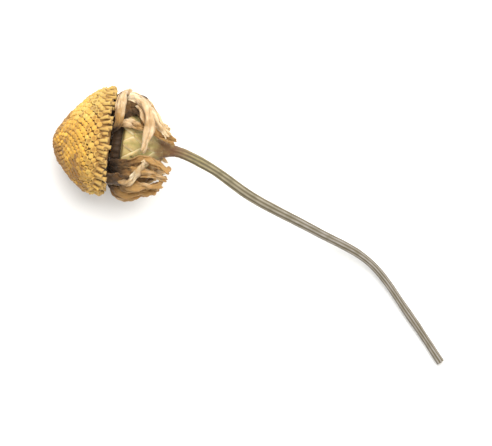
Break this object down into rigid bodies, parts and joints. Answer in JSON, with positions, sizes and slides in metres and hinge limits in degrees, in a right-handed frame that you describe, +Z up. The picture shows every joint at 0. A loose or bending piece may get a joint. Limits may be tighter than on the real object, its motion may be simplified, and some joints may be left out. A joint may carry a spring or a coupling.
{
  "type": "dried chamomile flower",
  "caption": "Dried chamomile flower lying on its side: a cone of packed disc florets, shrivelled ray florets bent back over a cup of bracts, and a long bent stalk.",
  "frame": {"origin": "on the surface that the flower lies on, at the flat spot under the widest part of the disc", "axes": "+Z up; +X from the crown of the disc towards the cut end of the stalk, level; +Y to the side that the stalk bends away from"},
  "size_m": [0.0265, 0.0118, 0.0065],
  "materials": {
    "disc_florets": "matte",
    "ray_florets": "matte",
    "involucre_bracts": "matte",
    "stalk": "matte"
  },
  "bodies": {
    "root": {"disc_florets": "disc_florets", "ray_florets": "ray_florets", "involucre_bracts": "involucre_bracts", "stalk": "stalk"}
  },
  "joints": []
}
